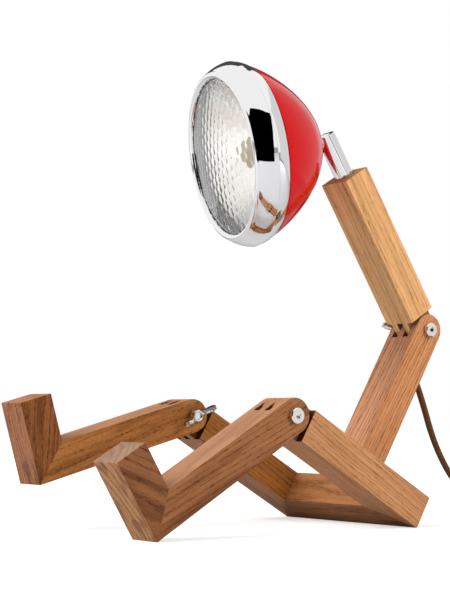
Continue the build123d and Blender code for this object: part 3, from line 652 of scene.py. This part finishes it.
def timber(name, bar):
    # the log's frame: its middle line is +Z, beside the bar and nearly along it
    grain = Vector(bar["grain"])
    width = Vector((0, 1, 0)) if abs(grain.x) > 0.9 else Vector((1, 0, 0))
    leanOne, leanTwo = (math.radians(angle) for angle in ash["lean"])
    lean = Euler((leanOne, leanTwo, 0)).to_matrix()
    lean = Euler((math.radians(bar["slant"]), 0, 0)).to_matrix() @ lean
    turn = lean @ Matrix((width, grain.cross(width), grain))
    middle = Vector(sum((Vector(corner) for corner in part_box(name)), Vector()) / 2)
    offset = -(turn @ middle) + Vector((*bar["heart"], bar["shift"]))
    look = {
        "base": colour(*bar["side"]),
        "rough": ash["rough"],
        "sockets": {"Specular IOR Level": ash["specular"]},
    }
    material, tree, shader, place = finish("ash_" + name, look)
    normal = put(tree, "TexCoord").outputs["Normal"]
    log = put(tree, "Mapping", {"Vector": place, "Rotation": turn.to_euler(), "Location": offset}).outputs[0]
    fibre = stretched(tree, log, ash["fibreStretch"])
    vessel = stretched(tree, log, bar["poreStretch"])
    drift = stretched(tree, log, ash["driftStretch"])

    # year rings, with fibres, pores and streaks along them
    axes = split(tree, log)
    radius = measure(tree, "LENGTH", put(tree, "CombineXYZ", {0: axes[0], 1: axes[1]}).outputs[0])
    wave = spread(tree, grains(tree, drift, *ash["waves"]), 0.0, 1.0, -bar["wave"], bar["wave"])
    radius = reckon(tree, "ADD", radius, wave)
    slow = reckon(tree, "MULTIPLY", axes[2], ash["yearDrift"])
    years = put(tree, "CombineXYZ", {0: radius, 1: slow}).outputs[0]
    band = grains(tree, years, ash["yearScale"] / bar["ring"], *ash["years"])
    count = reckon(tree, "MULTIPLY", radius, 2 / bar["ring"])  # half rings, counted outward
    count = reckon(tree, "ADD", count, spread(tree, band, *ash["yearEdge"], 0, ash["yearShift"]))
    line = spread(tree, reckon(tree, "PINGPONG", count, 1.0), *ash["ringEdge"])
    thread = spread(tree, grains(tree, fibre, *ash["fibres"]), *grainRange)
    pores = spread(tree, grains(tree, vessel, *ash["vessels"]), *ash["poreEdge"])
    dense = reckon(tree, "MULTIPLY", line, spread(tree, pores, 0, 1, ash["ringFloor"], 1))
    pores = reckon(tree, "MULTIPLY", pores, spread(tree, line, 0, 1, ash["poreFloor"], 1))
    pale = spread(tree, band, *ash["paleEdge"], 1, 0)
    streak = spread(tree, grains(tree, drift, bar["streakScale"], *ash["streaks"]), *ash["streakEdge"])

    # the bar's colours by side, with painted light, sheen and shade in the side, face and end colours, and
    # then the figure over them
    sideways = reckon(tree, "ABSOLUTE", split(tree, normal)[0])
    base = mix(tree, spread(tree, sideways, *ash["sideways"]), colour(*bar["face"]), colour(*bar["side"]))
    figure = spread(tree, sideways, *ash["sideways"], bar["faceFigure"], 1)
    endwise = reckon(tree, "ABSOLUTE", measure(tree, "DOT_PRODUCT", normal, bar["grain"]))
    endwise = spread(tree, endwise, *ash["endwise"])
    base = mix(tree, endwise, base, colour(*bar["end"]))
    figure = reckon(tree, "MULTIPLY", figure, spread(tree, endwise, 0, 1, 1, ash["endFigure"]))
    if "pin" in bar:
        # painted shade, darkening the hinges' hollows where light doesn't reach
        hollow = paintedHingeShade(tree, place, normal, name, bar["pin"])
        base = mix(tree, hollow, base, mix(tree, 1.0, base, ash["hollow"], "MULTIPLY"))
    tints = [
        (pale, ash["paleShare"], ash["light"]),
        (dense, bar["rings"], ash["dark"]),
        (thread, ash["fibreShare"], ash["dark"]),
        (streak, bar["streaks"], ash["streak"]),
        (pores, bar["pores"] * ash["poreShare"], ash["pore"]),
    ]
    for share, strength, tint in tints:
        share = reckon(tree, "MULTIPLY", reckon(tree, "MULTIPLY", share, strength), figure)
        base = mix(tree, share, base, mix(tree, 1.0, base, tint, "MULTIPLY"))
    feed(tree, shader, "Base Color", base)
    feed(tree, shader, "Roughness", spread(tree, thread, 0, 1, *ash["gloss"]))
    relief(tree, shader, reckon(tree, "SUBTRACT", thread, pores), *ash["relief"])
    return material


timbers = {name: timber(name, {**usualBar, **bar}) for name, bar in bars.items()}
for name, material in timbers.items():
    dress(material, name)
dress(timbers["hip_plug"], *dowels)
print("timber dressed")

# chrome and steel
chromeLook = {
    "base": (0.86, 0.86, 0.87, 1),
    "rough": 0.03,
    "metal": 1.0,
    "gloss": (0.015, 0.04, 180, 3),
    "bump": (0.008, 0.0005, 45, 1),
}
polishedChrome = finish("polishedChrome", chromeLook)[0]
dress(polishedChrome, "neck_tube", "neck_screw", "head_stud", "bezel")

nickelLook = {
    "base": (0.74, 0.72, 0.69, 1),
    "rough": 0.12,
    "metal": 1.0,
    "tints": ((0.30, 0.28, 0.25, 1), (0.90, 0.89, 0.86, 1), 300, 2),  # painted reflection of dark surroundings as dark mottling, and clean plate
    "edge": (0.42, 0.56),
    "gloss": (0.07, 0.2, 400, 3),
    "bump": (0.25, 0.0005, 320, 2),
}
nickelPlate = finish("nickelPlate", nickelLook)[0]
dress(nickelPlate, "waist_wing_nut", "knee_wing_nut_left", "knee_wing_nut_right")

boltLook = {
    "base": (0.93, 0.91, 0.88, 1),
    "rough": 0.1,
    "metal": 1.0,
    "gloss": (0.06, 0.14, 300, 2),
    "bump": (0.05, 0.0004, 200, 1),
}
boltPlate = finish("boltPlate", boltLook)[0]
dress(boltPlate, "waist_bolt", "knee_bolt_left", "knee_bolt_right")

steelLook = {
    "base": colour(168, 170, 174),
    "rough": 0.35,
    "metal": 1.0,
    "tints": (colour(140, 142, 148), colour(190, 191, 193), 900, 3),
    "gloss": (0.25, 0.45, 900, 3),
}
zincSteel = finish("zincSteel", steelLook)[0]
dress(zincSteel, "hip_screw", "foot_screw_left", "foot_screw_right", "stud_washer", "stud_nut")
dress(zincSteel, *[f"lens_clip_{n}" for n in (1, 2, 3, 4)])

brassLook = {"base": colour(200, 160, 90), "rough": 0.3, "metal": 1.0, "gloss": (0.2, 0.4, 700, 2)}
turnedBrass = finish("turnedBrass", brassLook)[0]
dress(turnedBrass, "ball_seat", "plug_pin_left", "plug_pin_right")

sleeveLook = {"base": colour(38, 36, 34), "rough": 0.6, "bump": (0.2, 0.0001, 1500, 2)}
blackSleeve = finish("blackSleeve", sleeveLook)[0]
dress(blackSleeve, "neck_sleeve", "cable_gland", "lens_gasket")
print("metal dressed")

# lamp head, in a frame whose +Z is the lamp's axis and whose +Y points up
headPlace = Matrix(
    (
        (0.96832, 0.08622, -0.23435, 0.002829),
        (-0.21148, -0.21581, -0.95326, 0.067662),
        (-0.13277, 0.97262, -0.19074, 0.291755),
        (0, 0, 0, 1),
    )
)
enamelLook = {
    "base": (0.565, 0.003, 0.0055, 1),
    "rough": 0.4,
    "sockets": {"Coat Weight": 1.0, "Coat Roughness": 0.03, "Coat IOR": 1.245, "Specular IOR Level": 0.0},
    "tints": ((0.55, 0.0028, 0.005, 1), (0.58, 0.0034, 0.006, 1), 60, 2),
    "bump": (0.02, 0.0003, 260, 1),
}
redEnamel = finish("redEnamel", enamelLook)[0]
dress(redEnamel, "bowl")

reflectorLook = {
    "base": (0.93, 0.91, 0.88, 1),
    "rough": 0.35,
    "metal": 1.0,
    "gloss": (0.3, 0.42, 120, 2),
    "rimShade": (0.03, 0.031, 0.031, 1),  # painted shade toward the rim, standing in for the dark seen there through the lens
    "rimShadeFrom": (0.0555, 0.0561),  # from the lamp's axis
    "rimShadeShift": 0.04,  # how much sooner it starts on the side away from clearSide
    "clearSide": (0.7457, -0.3021, 0.5939),
}
reflectorSilver, tree, shader, place = finish("reflectorSilver", reflectorLook)
# painted shade on the reflector near its rim, starting sooner on the side away from clearSide
arm = vector(tree, "SUBTRACT", place, headPlace.translation)
shift = measure(tree, "DOT_PRODUCT", arm, reflectorLook["clearSide"])
shift = reckon(tree, "MULTIPLY", shift, reflectorLook["rimShadeShift"])
reach = measure(tree, "LENGTH", vector(tree, "CROSS_PRODUCT", arm, headPlace.col[2].xyz))
rimShadeShare = spread(tree, reckon(tree, "SUBTRACT", reach, shift), *reflectorLook["rimShadeFrom"])
feed(tree, shader, "Base Color", mix(tree, rimShadeShare, reflectorLook["base"], reflectorLook["rimShade"]))
dress(reflectorSilver, "reflector")

holderLook = {
    "base": colour(196, 168, 132),
    "rough": 0.45,
    "tints": (colour(176, 146, 108), colour(208, 182, 148), 300, 3),
}
holderCeramic = finish("holderCeramic", holderLook)[0]
dress(holderCeramic, "lamp_holder")

# capsule bulb, radii and heights along the lamp's axis
bulbShape = {
    "base": [(0.0, 0.0237), (0.0058, 0.0237), (0.0060, 0.0239), (0.0060, 0.0397)],
    "body": 0.0105,
    "shoulder": 0.0465,
    "tip": 0.0735,
    "sides": 48,
    "shoulderSteps": 8,
    "tipSteps": 12,
}
bulbLook = {
    "base": (0.60, 0.46, 0.30, 1),
    "rough": 0.3,
    "tints": ((0.60, 0.45, 0.28, 1), (0.80, 0.71, 0.56, 1), 260, 2),
    "bump": (0.03, 0.0004, 90, 1),
}


def bulbProfile():
    radius = bulbShape["body"]
    profile = list(bulbShape["base"])
    neck, neckTop = profile[-1]
    for n in range(bulbShape["shoulderSteps"]):
        share = (n + 1) / bulbShape["shoulderSteps"]
        height = neckTop + (bulbShape["shoulder"] - neckTop) * share
        profile.append((neck + (radius - neck) * eased(share), height))
    for n in range(bulbShape["tipSteps"] + 1):
        a = math.radians(90 * n / bulbShape["tipSteps"])
        profile.append((radius * math.cos(a), bulbShape["tip"] - radius + radius * math.sin(a)))
    return profile


def bulbMesh():
    made = bmesh.new()
    profile = bulbProfile()
    sides = bulbShape["sides"]
    rings = []
    for r, z in profile[1:-1]:
        rings.append([made.verts.new((r * math.cos(a), r * math.sin(a), z)) for a in roundAngles(sides)])
    foot = made.verts.new((0, 0, profile[0][1]))
    tip = made.verts.new((0, 0, profile[-1][1]))
    for n in range(sides):
        m = (n + 1) % sides
        for first, second in zip(rings, rings[1:]):
            made.faces.new((first[n], first[m], second[m], second[n])).smooth = True
        made.faces.new((foot, rings[0][m], rings[0][n]))
        made.faces.new((tip, rings[-1][n], rings[-1][m])).smooth = True
    return meshFrom(made, "capsule_bulb", place=headPlace)


bulbGlass = finish("bulbGlass", bulbLook)[0]
bulbPiece = meshPiece("capsule_bulb", bulbMesh(), bulbGlass, "head")
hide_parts("bulb")

# pressed glass, its knobs on the inside
lensShape = {
    "radius": 0.061,
    "thick": 0.003,
    "crest": 0.095195,
    "dome": 0.255119,
    "back": 0.084595,
    "plain": 0.0572,  # the knobs end here, and a plain rim starts
    "taper": 0.0008,  # how quickly they fade there
    "knobPitch": 0.0079,
    "knobDepth": 0.00027,
    "knobRadius": 0.56,  # against their pitch
    "knobTurn": -11,  # degrees that the knobs' columns lean off the vertical
    "frontRows": 14,
    "rows": 74,
    "sides": 288,
}
glassLook = {
    "base": (0.99, 0.985, 0.975, 1),
    "rough": 0.02,
    "sockets": {"Transmission Weight": 1.0, "IOR": 1.5},
    "bump": (0.05, 0.0003, 220, 2),
}


def knob(x, y):
    # depth of the nearest knob, in columns whose knobs are staggered
    pitch = lensShape["knobPitch"]
    turn = math.radians(lensShape["knobTurn"])
    x, y = x * math.cos(turn) + y * math.sin(turn), y * math.cos(turn) - x * math.sin(turn)
    apart = pitch * math.sqrt(3) / 2
    column = round(x / apart)
    best = 1.0
    for near in (column - 1, column, column + 1):
        shift = 0.5 * (near % 2)
        row = round(y / pitch - shift) + shift
        best = min(best, math.hypot(x - near * apart, y - row * pitch) / pitch)
    return max(0.0, 1 - (best / lensShape["knobRadius"]) ** 2) * lensShape["knobDepth"]


def lensMesh():
    made = bmesh.new()
    shape = lensShape
    sides = shape["sides"]
    middle = shape["crest"] - shape["dome"]
    inner = shape["dome"] - shape["thick"]
    shoulder = shape["radius"] - shape["thick"]

    def ringAt(radius, height):
        spots = [(radius * math.cos(a), radius * math.sin(a)) for a in roundAngles(sides)]
        return [made.verts.new((x, y, height(x, y))) for x, y in spots]

    def outside(x, y):
        return middle + math.sqrt(shape["dome"] ** 2 - x * x - y * y)

    def inside(x, y):
        plain = middle + math.sqrt(inner**2 - x * x - y * y)
        share = (shape["plain"] - math.hypot(x, y)) / shape["taper"]
        return plain - knob(x, y) * min(1.0, max(0.0, share))

    def back(x, y):
        return shape["back"]

    def skin(rings, flip):
        for first, second in zip(rings, rings[1:]):
            for n in range(sides):
                m = (n + 1) % sides
                corners = (first[n], first[m], second[m], second[n])
                made.faces.new(corners if flip else tuple(reversed(corners))).smooth = True

    frontRows = shape["frontRows"]
    front = [ringAt(shape["radius"] * n / frontRows, outside) for n in range(1, frontRows + 1)]
    top = made.verts.new((0, 0, outside(0, 0)))
    rear = [ringAt(shoulder * n / shape["rows"], inside) for n in range(1, shape["rows"] + 1)]
    bottom = made.verts.new((0, 0, inside(0, 0)))
    skin(front, True)
    skin(rear, False)
    edge = ringAt(shape["radius"], back)
    heel = ringAt(shoulder, back)
    skin([front[-1], edge], True)
    skin([edge, heel], True)
    skin([heel, rear[-1]], True)
    for n in range(sides):
        m = (n + 1) % sides
        made.faces.new((top, front[0][m], front[0][n])).smooth = True
        made.faces.new((bottom, rear[0][n], rear[0][m])).smooth = True
    return meshFrom(made, "pressed_lens", place=headPlace)


pressedGlass = finish("pressedGlass", glassLook)[0]
lensPiece = meshPiece("pressed_lens", lensMesh(), pressedGlass, "head")
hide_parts("lens")
print("lamp head dressed")

# switch and plug
plasticLook = {
    "base": colour(52, 34, 24),
    "rough": 0.35,
    "gloss": (0.28, 0.42, 800, 2),
    "bump": (0.15, 0.0001, 2400, 2),
}
brownPlastic = finish("brownPlastic", plasticLook)[0]
dress(brownPlastic, "switch_body", "plug_body", "switch_rocker")
print("switch and plug dressed")
